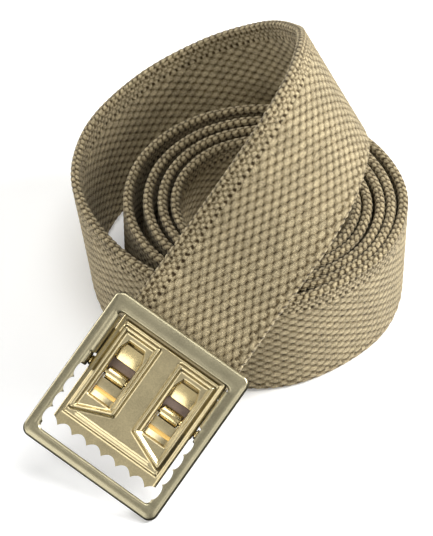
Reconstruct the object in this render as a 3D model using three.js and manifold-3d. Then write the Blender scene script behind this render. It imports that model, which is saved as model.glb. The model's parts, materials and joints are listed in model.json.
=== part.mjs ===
// Canvas web belt lying coiled on a flat surface, with an open-face clamp buckle at its end.
// Millimetres, +Z up. The origin is the middle of the belt's box at the surface that it lies on.
import * as THREE from 'three';
import { mergeVertices } from 'three/addons/utils/BufferGeometryUtils.js';
import Module from 'manifold-3d';

const wasm = await Module();
wasm.setup();

// strap
const WEB_WIDTH = 32;
const WEB_THICKNESS = 2.5;
const WEB_EDGE = 0.5; // cut at each of the four long corners
const STRAP_LENGTH = 1118; // 44 in
const RING_STEP = 4; // distance between two sections of the strap's mesh
const FIT_GAP = 0.3; // clearance between pieces that touch

// coil and loop
const COIL_RADIUS = 37.1; // middle of the strap, at the right of the outermost turn
const CREST_HEIGHT = 26.3; // middle of the strap at the top of the loop, above the coil's top
const LEAD_HEADING = 226; // degrees in plan, the way the strap runs into the buckle
const LEAD_FALL = 33.6; // degrees below level
const LEAD_ROLL = 66.5; // degrees, how far the strap leans back there
const LEAD_LENGTH = 14.4; // straight stretch before the buckle's frame

// buckle
const FRAME_HEIGHT = 43;
const FRAME_DEPTH = 1.8; // face to the lower lip of the turned-down rims
const FRAME_SHEET = 0.8;
const FRAME_CORNER = 2.4;
const FRAME_SIDE_GAP = 0.65; // strap's edge to the frame's opening
const SIDE_BAR = 3.5;
const TOP_BAR = 4.6;
const LOWER_BAR = 3.4;
const OPENING_CORNER = 1;
const NOTCH_DEPTH = 0.9; // scallops in the frame's inner side edges
const NOTCH_BELOW_PIN = 3.5; // middle of the first scallop
const EAR_THICKNESS = 0.7;
const EAR_RADIUS = 2;
const WING_DEPTH = 2.4; // side bars' inner edges turned down beside the plate, face to lower edge
const WING_ABOVE_PIN = 1.9; // lower end of that edge

const PLATE_SHEET = 0.7;
const PLATE_SIDE_GAP = 1.1; // plate's side edge to the frame's opening
const PLATE_TUCK = 0.6; // plate's top edge hidden under the top bar
const TEETH_GAP = 2.95; // tooth tips to the lower bar
const TOOTH_PITCH = 4.5;
const TOOTH_DEPTH = 1.5;
const FLANGE_HEIGHT = 2; // plain lower edge of the plate above the teeth's roots
const FIELD_RISE = 0.5; // embossed middle field above the plate's margin
const FIELD_MARGIN = 1.1;
const FIELD_SLOPE = 0.4; // width of the field's sloping edge
const RIM_WIDTH = 1.8;
const RIM_RISE = 0.9;
const SHELF_SHEET = 0.6; // bent tab below each window's lower edge
const SHELF_GROOVE = { near: 0.27, far: 0.54 }; // shares of the tab's length
const SHELF_GAP = 0.45; // tab's end to the jaw's knuckle

const PIN_RADIUS = 0.8;
const PIN_ABOVE_MIDDLE = 2.8; // pin's height above the frame's middle
const PIN_HEAD_RADIUS = 1.3;
const PIN_HEAD = 0.6;
const KNUCKLE_WALL = 0.7;
const KNUCKLE_WIDTH = 5.3;
const STRAP_HELD = 8.5; // length of the strap inside the buckle

const JAW_SHEET = 0.8;
const JAW_TOOTH = 0.8;
const JAW_SIDE_MARGIN = 2.6; // jaw's side edge inside the plate's side edge
const JAW_UNDER_BAR = 1.15; // jaw's toothed edge past the opening, under the top bar
// Tab bent up in each window: its free edge and its bend, from the pin, and how far the free edge lies lower.
const JAW_TAB = { edge: 4, root: 8.4, fall: 0.7 };

// How far the middle of each turn stands in from the turn outside it, as shares of the strap's thickness.
// The first row starts the coil: there the numbers are shares of the coil's radius.
const FIRST_TURN = { right: 1, back: 1.005, left: 0.935, front: 0.87 };
const TURN_GAPS = [
  { right: 1.28, back: 1.94, left: 2.08, front: 1.2 },
  { right: 1.14, back: 1.48, left: 1.52, front: 1.24 },
  { right: 1.34, back: 1.6, left: 1.36, front: 1.2 },
  { right: 1.14, back: 1.3, left: 1.2, front: 1.16 },
];
const QUARTERS = ['right', 'back', 'left', 'front'];
const POINTS_PER_QUARTER = 3;
const ROD_SIDES = 16; // sides of a round rod or hole
const ROUTE_STEPS = 100; // steps walked between two points of the route

// The loop, from the buckle back to the coil. x and y are shares of the coil's radius from the coil's middle.
// rise: share of the way from standing on edge up to the crest. fall: share of the way from the crest down
// to the buckle. roll: degrees that the strap leans out of upright.
const LOOP = [
  { x: 0.137, y: -0.577, rise: 1, fall: 0.21, roll: 57 },
  { x: 0.375, y: -0.159, rise: 1, fall: 0, roll: 47 },
  { x: 0.485, y: 0.329, rise: 0.96, fall: 0, roll: 37 },
  { x: 0.453, y: 0.903, rise: 0.71, fall: 0, roll: 23 },
  { x: 0.175, y: 1.305, rise: 0.43, fall: 0, roll: 0 },
  { x: -0.261, y: 1.418, rise: 0.2, fall: 0, roll: -19 },
  { x: -0.774, y: 1.213, rise: 0.05, fall: 0, roll: -20 },
  { x: -1.164, y: 0.717, rise: 0.01, fall: 0, roll: -13 },
  { x: -1.237, y: 0.092, rise: 0.008, fall: 0, roll: -7 },
  { x: -0.938, y: -0.542, rise: 0.003, fall: 0, roll: 0 },
  { x: -0.353, y: -0.933, rise: 0, fall: 0, roll: 0 },
  { x: 0.237, y: -0.945, rise: 0, fall: 0, roll: 0 },
  { x: 0.795, y: -0.545, rise: 0, fall: 0, roll: 0 },
];
const LOOP_END = { x: -0.51, y: -1.215 }; // where the strap enters the frame

// The plate's outlines. x: shares of the half width. y: shares of the height, from the lower edge's tips.
const RIM_OUTLINE = [
  { x: 0.903, y: 0.931 },
  { x: 0.161, y: 0.931 },
  { x: 0.161, y: 0.289 },
  { x: 0.903, y: 0.143 },
];
const WINDOW_OUTLINE = [
  { x: 0.746, y: 0.749 },
  { x: 0.679, y: 0.829 },
  { x: 0.389, y: 0.829 },
  { x: 0.322, y: 0.749 },
  { x: 0.322, y: 0.336 },
  { x: 0.746, y: 0.336 },
];

const frameWidth = WEB_WIDTH + 2 * (FRAME_SIDE_GAP + SIDE_BAR);
const openingHalf = WEB_WIDTH / 2 + FRAME_SIDE_GAP;
const openingTop = FRAME_HEIGHT / 2 - TOP_BAR;
const openingLow = LOWER_BAR - FRAME_HEIGHT / 2;
const plateHalf = openingHalf - PLATE_SIDE_GAP;
const plateTop = -FRAME_DEPTH - FIT_GAP;
const plateHigh = openingTop + PLATE_TUCK;
const plateLow = openingLow + TEETH_GAP;
const plateHeight = plateHigh - plateLow;
const webTop = plateTop - PLATE_SHEET - FIT_GAP;
const webMiddle = webTop - WEB_THICKNESS / 2;
const webBottom = webTop - WEB_THICKNESS;
const webEnd = FRAME_HEIGHT / 2 - STRAP_HELD;
const pinZ = webBottom + FIT_GAP + KNUCKLE_WALL / 2;
const knuckleHole = PIN_RADIUS + FIT_GAP;
const knuckleRadius = knuckleHole + KNUCKLE_WALL;
const jawHalf = plateHalf - JAW_SIDE_MARGIN;
const jawTop = webBottom - FIT_GAP - JAW_TOOTH;
const windowLeft = Math.min(...WINDOW_OUTLINE.map((p) => p.x)) * plateHalf;
const windowRight = Math.max(...WINDOW_OUTLINE.map((p) => p.x)) * plateHalf;
const windowMiddle = (windowLeft + windowRight) / 2;
const windowLow = plateLow + Math.min(...WINDOW_OUTLINE.map((p) => p.y)) * plateHeight;
const shelfEnd = PIN_ABOVE_MIDDLE - knuckleRadius - SHELF_GAP;

function toSolid(geometry) {
  const bare = geometry.clone();
  bare.deleteAttribute('normal');
  bare.deleteAttribute('uv');
  const merged = mergeVertices(bare, 1e-4);
  const mesh = new wasm.Mesh({
    numProp: 3,
    vertProperties: new Float32Array(merged.attributes.position.array),
    triVerts: new Uint32Array(merged.index.array),
  });
  return new wasm.Manifold(mesh);
}

function toGeometry(solid) {
  const mesh = solid.getMesh();
  const geometry = new THREE.BufferGeometry();
  geometry.setAttribute('position', new THREE.BufferAttribute(mesh.vertProperties, 3));
  geometry.setIndex(new THREE.BufferAttribute(mesh.triVerts, 1));
  geometry.computeVertexNormals();
  return geometry;
}

function uniteAll(solids) {
  return solids.reduce((sum, solid) => sum.add(solid));
}

// A rectangle with round corners as a three.js shape.
function roundedRectangle(left, right, low, high, radius) {
  const shape = new THREE.Shape();
  shape.moveTo(left + radius, low);
  shape.lineTo(right - radius, low);
  shape.absarc(right - radius, low + radius, radius, -Math.PI / 2, 0);
  shape.lineTo(right, high - radius);
  shape.absarc(right - radius, high - radius, radius, 0, Math.PI / 2);
  shape.lineTo(left + radius, high);
  shape.absarc(left + radius, high - radius, radius, Math.PI / 2, Math.PI);
  shape.lineTo(left, low + radius);
  shape.absarc(left + radius, low + radius, radius, Math.PI, 1.5 * Math.PI);
  return shape;
}

// A flat piece from zLow to zHigh, with its edges cut back by a bevel at both faces.
function flatPiece(shape, zLow, zHigh, bevel = 0, curveSegments = 4) {
  const geometry = new THREE.ExtrudeGeometry(shape, {
    depth: zHigh - zLow - 2 * bevel,
    bevelEnabled: bevel > 0,
    bevelThickness: bevel,
    bevelSize: bevel,
    bevelOffset: -bevel,
    bevelSegments: 2,
    curveSegments,
  });
  return toSolid(geometry.translate(0, 0, zLow + bevel));
}

// A piece whose outline lies in the plane of Y and Z, from xLow to xHigh.
function sidePiece(shape, xLow, xHigh, curveSegments = 6) {
  const depth = xHigh - xLow;
  const geometry = new THREE.ExtrudeGeometry(shape, { depth, bevelEnabled: false, curveSegments });
  const turn = new THREE.Matrix4().set(0, 0, 1, xLow, 1, 0, 0, 0, 0, 1, 0, 0, 0, 0, 0, 1);
  return toSolid(geometry.applyMatrix4(turn));
}

function crossRod(radius, xLow, xHigh) {
  const rod = new THREE.CylinderGeometry(radius, radius, xHigh - xLow, ROD_SIDES).rotateZ(Math.PI / 2);
  return toSolid(rod.translate((xLow + xHigh) / 2, PIN_ABOVE_MIDDLE, pinZ));
}

function polygon(points) {
  return new THREE.Shape(points.map((p) => new THREE.Vector2(p.x, p.y)));
}

// The same outline, moved inwards by a distance. Its points run anticlockwise.
function insetOutline(points, distance) {
  return points.map((point, i) => {
    const before = points[(i + points.length - 1) % points.length];
    const after = points[(i + 1) % points.length];
    const first = new THREE.Vector2(point.x - before.x, point.y - before.y).normalize();
    const second = new THREE.Vector2(after.x - point.x, after.y - point.y).normalize();
    const turn = 1 + first.dot(second);
    return {
      x: point.x + distance * (-first.y - second.y) / turn,
      y: point.y + distance * (first.x + second.x) / turn,
    };
  });
}

// A plate outline's shares as millimetres, anticlockwise, on the right side or mirrored to the left.
function plateOutline(shares, side) {
  const points = shares.map((p) => ({ x: side * p.x * plateHalf, y: plateLow + p.y * plateHeight }));
  const clockwise = THREE.ShapeUtils.isClockWise(points.map((p) => new THREE.Vector2(p.x, p.y)));
  return clockwise ? points.reverse() : points;
}

// An upright tab round the pin: a half disc below the pin and straight sides up to zTop.
function earOutline(zTop) {
  const shape = new THREE.Shape();
  shape.moveTo(PIN_ABOVE_MIDDLE - EAR_RADIUS, zTop);
  shape.lineTo(PIN_ABOVE_MIDDLE - EAR_RADIUS, pinZ);
  shape.absarc(PIN_ABOVE_MIDDLE, pinZ, EAR_RADIUS, Math.PI, 2 * Math.PI);
  shape.lineTo(PIN_ABOVE_MIDDLE + EAR_RADIUS, zTop);
  return shape;
}

// The stamped ring: a shallow channel in section, its side bars turned down beside the plate above the pin,
// with ears that turn on the pin.
function buckleFrame() {
  const halfWidth = frameWidth / 2;
  const halfHeight = FRAME_HEIGHT / 2;
  const outline = roundedRectangle(-halfWidth, halfWidth, -halfHeight, halfHeight, FRAME_CORNER);
  const bevel = FRAME_SHEET / 2;
  const outer = flatPiece(outline, -FRAME_DEPTH - bevel, 0, bevel);
  const opening = roundedRectangle(-openingHalf, openingHalf, openingLow, openingTop, OPENING_CORNER);
  const wall = FRAME_SHEET;
  const channelOutline = roundedRectangle(
    wall - halfWidth, halfWidth - wall, wall - halfHeight, halfHeight - wall, FRAME_CORNER - wall);
  const innerWall = roundedRectangle(
    -openingHalf - wall, openingHalf + wall, openingLow - wall, openingTop + wall, OPENING_CORNER);
  const channel = flatPiece(channelOutline, -2 * FRAME_DEPTH, -FRAME_SHEET)
    .subtract(flatPiece(innerWall, -3 * FRAME_DEPTH, 0));
  const belowRim = flatPiece(
    roundedRectangle(-frameWidth, frameWidth, -FRAME_HEIGHT, FRAME_HEIGHT, FRAME_CORNER),
    -3 * FRAME_DEPTH, -FRAME_DEPTH);
  let ring = outer.subtract(flatPiece(opening, -3 * FRAME_DEPTH, FRAME_DEPTH));
  ring = ring.subtract(channel).subtract(belowRim);
  const notchHalf = (TOOTH_PITCH - FIT_GAP) / 2;
  for (let y = PIN_ABOVE_MIDDLE - NOTCH_BELOW_PIN; y > openingLow + notchHalf; y -= TOOTH_PITCH) {
    for (const side of [-1, 1]) {
      const notch = new THREE.Shape();
      notch.absellipse(side * openingHalf, y, NOTCH_DEPTH, notchHalf, 0, 2 * Math.PI);
      ring = ring.subtract(flatPiece(notch, -2 * FRAME_DEPTH, FRAME_DEPTH, 0, 5));
    }
  }
  const ear = sidePiece(earOutline(-FRAME_SHEET / 2), openingHalf, openingHalf + EAR_THICKNESS);
  const wingLow = PIN_ABOVE_MIDDLE + WING_ABOVE_PIN;
  const wingOutline = roundedRectangle(
    plateHalf + FIT_GAP, openingHalf + wall / 2, wingLow, openingTop + wall / 2, bevel);
  const wing = flatPiece(wingOutline, -WING_DEPTH, -bevel / 2, bevel / 2);
  for (const piece of [ear, wing]) ring = ring.add(piece).add(piece.mirror([1, 0, 0]));
  return toGeometry(ring.subtract(crossRod(knuckleHole, -frameWidth, frameWidth)));
}

// The plate's edge in plan: straight sides, and pointed teeth with round gaps along the lower edge.
function plateEdge() {
  const count = Math.max(2, Math.round(2 * plateHalf / TOOTH_PITCH));
  const pitch = 2 * plateHalf / count;
  const root = plateLow + TOOTH_DEPTH;
  const shape = new THREE.Shape();
  shape.moveTo(-plateHalf, plateHigh);
  shape.lineTo(-plateHalf, root);
  shape.quadraticCurveTo(pitch / 4 - plateHalf, root, pitch / 2 - plateHalf, plateLow);
  for (let i = 0; i < count - 1; i += 1) {
    const tip = (i + 0.5) * pitch - plateHalf;
    shape.quadraticCurveTo(tip + pitch / 2, plateLow + 2 * TOOTH_DEPTH, tip + pitch, plateLow);
  }
  shape.quadraticCurveTo(plateHalf - pitch / 4, root, plateHalf, root);
  shape.lineTo(plateHalf, plateHigh);
  return shape;
}

// A bent tab from each window's lower edge to just short of the jaw's knuckle.
function windowShelf(side) {
  const shelfTop = pinZ + KNUCKLE_WALL;
  const length = shelfEnd - windowLow;
  const groove = { near: windowLow + SHELF_GROOVE.near * length, far: windowLow + SHELF_GROOVE.far * length };
  const outline = polygon([
    { x: windowLow - PLATE_SHEET, y: plateTop - PLATE_SHEET / 4 },
    { x: windowLow - PLATE_SHEET, y: plateTop - PLATE_SHEET },
    { x: windowLow, y: shelfTop - SHELF_SHEET },
    { x: shelfEnd, y: shelfTop - SHELF_SHEET },
    { x: shelfEnd, y: shelfTop },
    { x: groove.far, y: shelfTop },
    { x: (groove.near + groove.far) / 2, y: shelfTop - SHELF_SHEET / 2 },
    { x: groove.near, y: shelfTop },
    { x: windowLow, y: plateTop - PLATE_SHEET / 4 },
  ]);
  const halfWidth = (windowRight - windowLeft) / 2 - FIT_GAP;
  return sidePiece(outline, side * windowMiddle - halfWidth, side * windowMiddle + halfWidth);
}

// The embossed face plate, with its lugs round the pin.
function gripPlate() {
  const sheetLow = plateTop - PLATE_SHEET;
  const sheetMiddle = plateTop - PLATE_SHEET / 2;
  const base = flatPiece(plateEdge(), sheetLow, plateTop, 0, 5);
  const fieldLow = plateLow + TOOTH_DEPTH + FLANGE_HEIGHT;
  const fieldHalf = plateHalf - FIELD_MARGIN;
  const field = roundedRectangle(-fieldHalf, fieldHalf, fieldLow, plateHigh - FIELD_MARGIN, FIELD_MARGIN / 2);
  const embossed = [base, flatPiece(field, sheetMiddle, plateTop + FIELD_RISE, FIELD_SLOPE)];
  const tabs = [];
  const holes = [];
  for (const side of [-1, 1]) {
    const rim = plateOutline(RIM_OUTLINE, side);
    const rimTop = plateTop + FIELD_RISE + RIM_RISE;
    const bevel = RIM_WIDTH / 3;
    const inside = polygon(insetOutline(rim, RIM_WIDTH));
    const ring = flatPiece(polygon(rim), sheetMiddle, rimTop, bevel);
    const lug = sidePiece(earOutline(plateTop), plateHalf - EAR_THICKNESS, plateHalf);
    embossed.push(ring.subtract(flatPiece(inside, 2 * sheetLow, -sheetLow)));
    tabs.push(windowShelf(side), side > 0 ? lug : lug.mirror([1, 0, 0]));
    holes.push(flatPiece(polygon(plateOutline(WINDOW_OUTLINE, side)), 2 * sheetLow, -sheetLow));
  }
  const pierced = uniteAll(embossed).subtract(uniteAll(holes));
  const plate = uniteAll([pierced, ...tabs]);
  return toGeometry(plate.subtract(crossRod(knuckleHole, -frameWidth, frameWidth)));
}

// The cross pin: a shaft with a shoulder between plate and frame, and a head outside each ear.
function pivotPin() {
  const shoulderFrom = plateHalf + FIT_GAP;
  const shoulderTo = openingHalf - FIT_GAP;
  const headFrom = openingHalf + EAR_THICKNESS + FIT_GAP;
  const half = [
    [PIN_RADIUS, shoulderFrom],
    [PIN_HEAD_RADIUS, shoulderFrom],
    [PIN_HEAD_RADIUS, shoulderTo],
    [PIN_RADIUS, shoulderTo],
    [PIN_RADIUS, headFrom],
    [PIN_HEAD_RADIUS, headFrom],
    [PIN_HEAD_RADIUS, headFrom + PIN_HEAD],
    [0, headFrom + PIN_HEAD],
  ];
  const profile = [...half].reverse().map(([r, x]) => new THREE.Vector2(r, -x));
  profile.push(...half.map(([r, x]) => new THREE.Vector2(r, x)));
  const lathe = toSolid(new THREE.LatheGeometry(profile, ROD_SIDES).rotateZ(-Math.PI / 2));
  return toGeometry(lathe).translate(0, PIN_ABOVE_MIDDLE, pinZ);
}

// A box lying across the buckle, from one height above the frame's middle to another.
function crossBlock(middle, half, yLow, yHigh, zLow, zHigh) {
  const corners = [[yLow, zLow], [yHigh, zLow], [yHigh, zHigh], [yLow, zHigh]];
  return sidePiece(polygon(corners.map(([x, y]) => ({ x, y }))), middle - half, middle + half);
}

// The rear jaw: a sheet behind the strap with a toothed lip, and a tab bent up out of it in each window.
function clampJaw() {
  const jawLow = jawTop - JAW_SHEET;
  const reach = openingTop + JAW_UNDER_BAR;
  const rolled = PIN_ABOVE_MIDDLE + knuckleRadius;
  const tabEdge = PIN_ABOVE_MIDDLE + JAW_TAB.edge;
  const tabRoot = PIN_ABOVE_MIDDLE + JAW_TAB.root;
  const tabHalf = (windowRight - windowLeft) / 2;
  const sheetOutline = polygon([
    { x: PIN_ABOVE_MIDDLE, y: pinZ - knuckleRadius },
    { x: rolled, y: jawLow },
    { x: reach, y: jawLow },
    { x: reach, y: jawTop },
    { x: PIN_ABOVE_MIDDLE, y: jawTop },
  ]);
  const tabOutline = polygon([
    { x: tabEdge, y: webTop - JAW_TAB.fall - JAW_SHEET },
    { x: tabRoot - JAW_SHEET, y: webTop - JAW_SHEET },
    { x: tabRoot - JAW_SHEET, y: jawLow },
    { x: tabRoot, y: jawLow },
    { x: tabRoot, y: webTop },
    { x: tabEdge, y: webTop - JAW_TAB.fall },
  ]);
  const neckOutline = polygon([
    { x: PIN_ABOVE_MIDDLE, y: pinZ - knuckleRadius },
    { x: rolled, y: jawTop - JAW_SHEET / 2 },
    { x: rolled, y: pinZ },
    { x: PIN_ABOVE_MIDDLE, y: pinZ },
  ]);
  const gaps = [];
  const parts = [];
  for (const side of [-1, 1]) {
    const middle = side * windowMiddle;
    const knuckleHalf = KNUCKLE_WIDTH / 2;
    gaps.push(crossBlock(middle, tabHalf, tabEdge, tabRoot - JAW_SHEET, 2 * jawLow, pinZ));
    parts.push(sidePiece(tabOutline, middle - tabHalf, middle + tabHalf));
    parts.push(sidePiece(neckOutline, middle - knuckleHalf, middle + knuckleHalf));
    parts.push(crossRod(knuckleRadius, middle - knuckleHalf, middle + knuckleHalf));
  }
  const count = Math.max(2, Math.round(2 * jawHalf / TOOTH_PITCH));
  const pitch = 2 * jawHalf / count;
  const tooth = polygon([
    { x: reach - JAW_SHEET * 2, y: jawTop - JAW_SHEET / 2 },
    { x: reach, y: jawTop - JAW_SHEET / 2 },
    { x: reach, y: webBottom - FIT_GAP },
  ]);
  for (let i = 0; i < count; i += 1) {
    const middle = (i + 0.5) * pitch - jawHalf;
    parts.push(sidePiece(tooth, middle - pitch / 4, middle + pitch / 4));
  }
  const sheet = sidePiece(sheetOutline, -jawHalf, jawHalf).subtract(uniteAll(gaps));
  return toGeometry(uniteAll([sheet, ...parts]).subtract(crossRod(knuckleHole, -frameWidth, frameWidth)));
}

// Point and roll on a smooth curve through a list, at a place that counts the list's points.
function blendRows(rows, place, read) {
  const i = Math.min(Math.max(Math.floor(place), 1), rows.length - 3);
  const f = place - i;
  const [a, b, c, d] = [-1, 0, 1, 2].map((k) => read(rows[i + k]));
  const square = 2 * a - 5 * b + 4 * c - d;
  const cube = 3 * b - a - 3 * c + d;
  return 0.5 * (2 * b + (c - a) * f + square * f * f + cube * f * f * f);
}

// The radius of the coil's middle line at a number of quarter turns unwound from the right.
function quarterRadii(count) {
  const radii = [];
  for (let i = 0; i < count; i += 1) {
    const name = QUARTERS[i % 4];
    const turn = Math.floor(i / 4);
    if (turn === 0) {
      radii.push(COIL_RADIUS * FIRST_TURN[name]);
    } else {
      const gaps = TURN_GAPS[Math.min(turn - 1, TURN_GAPS.length - 1)];
      radii.push(radii[i - 4] - WEB_THICKNESS * gaps[name]);
    }
  }
  return radii;
}

function leadDirection() {
  const heading = THREE.MathUtils.degToRad(LEAD_HEADING);
  const fall = THREE.MathUtils.degToRad(LEAD_FALL);
  return new THREE.Vector3(
    Math.cos(heading) * Math.cos(fall), Math.sin(heading) * Math.cos(fall), -Math.sin(fall));
}

// Axes of the strap where it runs along a direction: across it, towards its upper edge, and out of its face.
function strapAxes(along, rollDegrees) {
  const roll = THREE.MathUtils.degToRad(rollDegrees);
  const up = new THREE.Vector3(0, 0, 1).addScaledVector(along, -along.z).normalize();
  const side = new THREE.Vector3().crossVectors(along, up);
  const across = up.multiplyScalar(Math.cos(roll)).addScaledVector(side, Math.sin(roll));
  return { across, out: new THREE.Vector3().crossVectors(across, along) };
}

// The buckle's own axes where the strap enters: x along the frame's bars, y back along the strap, z out.
function buckleAxes() {
  const along = leadDirection();
  const { across, out } = strapAxes(along, LEAD_ROLL);
  return { x: across.negate(), y: along.negate(), z: out };
}

// The strap's middle at the frame's top edge stands so high that the frame's lowest corner is on the floor.
function leadEndHeight() {
  const axes = buckleAxes();
  const cornerX = frameWidth / 2 - FRAME_CORNER;
  const cornerY = FRAME_HEIGHT / 2 - FRAME_CORNER;
  const corner = Math.abs(axes.x.z) * cornerX + Math.abs(axes.y.z) * cornerY
    + FRAME_CORNER * Math.hypot(axes.x.z, axes.y.z) + FRAME_DEPTH * axes.z.z;
  return corner + axes.y.z * FRAME_HEIGHT / 2 + webMiddle * axes.z.z;
}

// The strap's middle line from inside the buckle to the coil's inner end.
function strapRoute() {
  const standing = WEB_WIDTH / 2;
  const crest = WEB_WIDTH + CREST_HEIGHT;
  const end = new THREE.Vector3(LOOP_END.x * COIL_RADIUS, LOOP_END.y * COIL_RADIUS, leadEndHeight());
  const along = leadDirection();
  const onLead = (distance) => {
    const p = end.clone().addScaledVector(along, -distance);
    return { x: p.x, y: p.y, z: p.z, roll: LEAD_ROLL };
  };
  const rows = [-2 * STRAP_HELD, -STRAP_HELD, 0, LEAD_LENGTH / 2, LEAD_LENGTH].map(onLead);
  for (const row of LOOP) {
    const high = standing + row.rise * (crest - standing);
    rows.push({
      x: row.x * COIL_RADIUS,
      y: row.y * COIL_RADIUS,
      z: high - row.fall * (crest - end.z),
      roll: row.roll,
    });
  }
  const quarters = Math.ceil(STRAP_LENGTH / COIL_RADIUS);
  const radii = [COIL_RADIUS, ...quarterRadii(quarters)];
  for (let i = 0; i < (quarters - 2) * POINTS_PER_QUARTER; i += 1) {
    const place = i / POINTS_PER_QUARTER;
    const radius = blendRows(radii, place + 1, (r) => r);
    const angle = place * Math.PI / 2;
    rows.push({ x: radius * Math.cos(angle), y: radius * Math.sin(angle), z: standing, roll: 0 });
  }
  return rows;
}

// Sections of the strap at equal steps along its route, until its length is used up.
function strapSections() {
  const rows = strapRoute();
  const blend = (place, name) => blendRows(rows, place, (row) => row[name]);
  const at = (place) => new THREE.Vector3(blend(place, 'x'), blend(place, 'y'), blend(place, 'z'));
  const sections = [];
  let walked = 0;
  let next = 0;
  let before = at(1);
  const steps = Math.round(STRAP_LENGTH / RING_STEP);
  for (let i = 0; sections.length <= steps && i < (rows.length - 3) * ROUTE_STEPS; i += 1) {
    const place = 1 + i / ROUTE_STEPS;
    const point = at(place);
    walked += point.distanceTo(before);
    before = point;
    if (walked >= next - 1e-9) {
      const nearby = 1 / ROUTE_STEPS;
      const along = at(place - nearby).sub(at(place + nearby)).normalize();
      sections.push({ point, ...strapAxes(along, blend(place, 'roll')) });
      next = sections.length * STRAP_LENGTH / steps;
    }
  }
  return sections;
}

function webStrap() {
  const halfWidth = WEB_WIDTH / 2;
  const halfThickness = WEB_THICKNESS / 2;
  const outline = [
    [halfWidth, halfThickness - WEB_EDGE],
    [halfWidth - WEB_EDGE, halfThickness],
    [WEB_EDGE - halfWidth, halfThickness],
    [-halfWidth, halfThickness - WEB_EDGE],
    [-halfWidth, WEB_EDGE - halfThickness],
    [WEB_EDGE - halfWidth, -halfThickness],
    [halfWidth - WEB_EDGE, -halfThickness],
    [halfWidth, WEB_EDGE - halfThickness],
  ];
  const sections = strapSections();
  const positions = [];
  for (const { point, across, out } of sections) {
    for (const [a, b] of outline) {
      const p = point.clone().addScaledVector(across, a).addScaledVector(out, b);
      positions.push(p.x, p.y, p.z);
    }
  }
  const sides = outline.length;
  const index = [];
  for (let i = 0; i < sections.length - 1; i += 1) {
    for (let k = 0; k < sides; k += 1) {
      const [a, b] = [i * sides + k, i * sides + (k + 1) % sides];
      index.push(a, b, a + sides, b, b + sides, a + sides);
    }
  }
  const last = (sections.length - 1) * sides;
  for (let k = 1; k < sides - 1; k += 1) {
    index.push(0, k + 1, k);
    index.push(last, last + k, last + k + 1);
  }
  const geometry = new THREE.BufferGeometry();
  geometry.setAttribute('position', new THREE.Float32BufferAttribute(positions, 3));
  geometry.setIndex(index);
  geometry.computeVertexNormals();
  return geometry;
}

const cotton = new THREE.MeshStandardMaterial({ color: 0xb5a67f, roughness: 0.95, metalness: 0 });
const brass = new THREE.MeshStandardMaterial({ color: 0xb9a469, roughness: 0.35, metalness: 1 });
const brightBrass = new THREE.MeshStandardMaterial({ color: 0xd9bd72, roughness: 0.25, metalness: 1 });

function namedMesh(name, geometry, material) {
  const mesh = new THREE.Mesh(geometry, material);
  mesh.name = name;
  return mesh;
}

const axes = buckleAxes();
const entry = new THREE.Vector3(LOOP_END.x * COIL_RADIUS, LOOP_END.y * COIL_RADIUS, leadEndHeight());
const buckle = new THREE.Group();
buckle.add(namedMesh('buckle_frame', buckleFrame(), brass));
buckle.add(namedMesh('grip_plate', gripPlate(), brass));
buckle.add(namedMesh('pivot_pin', pivotPin(), brightBrass));
buckle.add(namedMesh('clamp_jaw', clampJaw(), brightBrass));
buckle.quaternion.setFromRotationMatrix(new THREE.Matrix4().makeBasis(axes.x, axes.y, axes.z));
buckle.position.copy(entry)
  .addScaledVector(axes.y, -FRAME_HEIGHT / 2)
  .addScaledVector(axes.z, -webMiddle);

const belt = new THREE.Group();
belt.add(namedMesh('web_strap', webStrap(), cotton), buckle);
belt.updateMatrixWorld(true);
const box = new THREE.Box3().setFromObject(belt, true);
belt.position.set(-(box.min.x + box.max.x) / 2, -(box.min.y + box.max.y) / 2, -box.min.z);
belt.updateMatrixWorld(true);

export default belt;
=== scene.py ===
# Looks for the coiled canvas web belt: woven strap, stamped brass buckle, pale floor and soft light.
import json
import math

import bpy
import numpy as np
from mathutils import Matrix, Vector
from mathutils.geometry import delaunay_2d_cdt


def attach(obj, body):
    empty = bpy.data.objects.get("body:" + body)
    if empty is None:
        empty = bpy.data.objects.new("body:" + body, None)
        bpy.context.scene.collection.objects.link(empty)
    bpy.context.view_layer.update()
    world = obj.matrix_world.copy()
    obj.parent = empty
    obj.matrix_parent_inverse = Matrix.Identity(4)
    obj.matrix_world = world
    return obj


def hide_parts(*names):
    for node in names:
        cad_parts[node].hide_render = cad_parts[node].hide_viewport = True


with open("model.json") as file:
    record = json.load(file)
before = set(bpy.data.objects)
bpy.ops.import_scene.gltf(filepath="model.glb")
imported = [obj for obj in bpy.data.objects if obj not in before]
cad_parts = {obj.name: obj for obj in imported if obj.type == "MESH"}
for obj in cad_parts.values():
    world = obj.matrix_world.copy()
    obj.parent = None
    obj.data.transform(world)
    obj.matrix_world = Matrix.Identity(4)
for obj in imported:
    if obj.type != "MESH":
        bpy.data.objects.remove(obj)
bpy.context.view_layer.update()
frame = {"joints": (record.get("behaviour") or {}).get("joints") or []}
mm = 0.001


def addNode(tree, kind, values=None, **properties):
    node = tree.nodes.new(kind)
    for name, value in properties.items():
        setattr(node, name, value)
    for place, value in (values or {}).items():
        if isinstance(value, bpy.types.NodeSocket):
            tree.links.new(value, node.inputs[place])
        else:
            node.inputs[place].default_value = value
    return node


def calc(tree, operation, *terms):
    return addNode(tree, "ShaderNodeMath", dict(enumerate(terms)), operation=operation).outputs[0]


def calcVector(tree, operation, *terms):
    places = [0, "Scale"] if operation == "SCALE" else range(len(terms))
    return addNode(tree, "ShaderNodeVectorMath", dict(zip(places, terms)), operation=operation).outputs[0]


def splitVector(tree, value):
    return addNode(tree, "ShaderNodeSeparateXYZ", {0: value}).outputs


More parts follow.
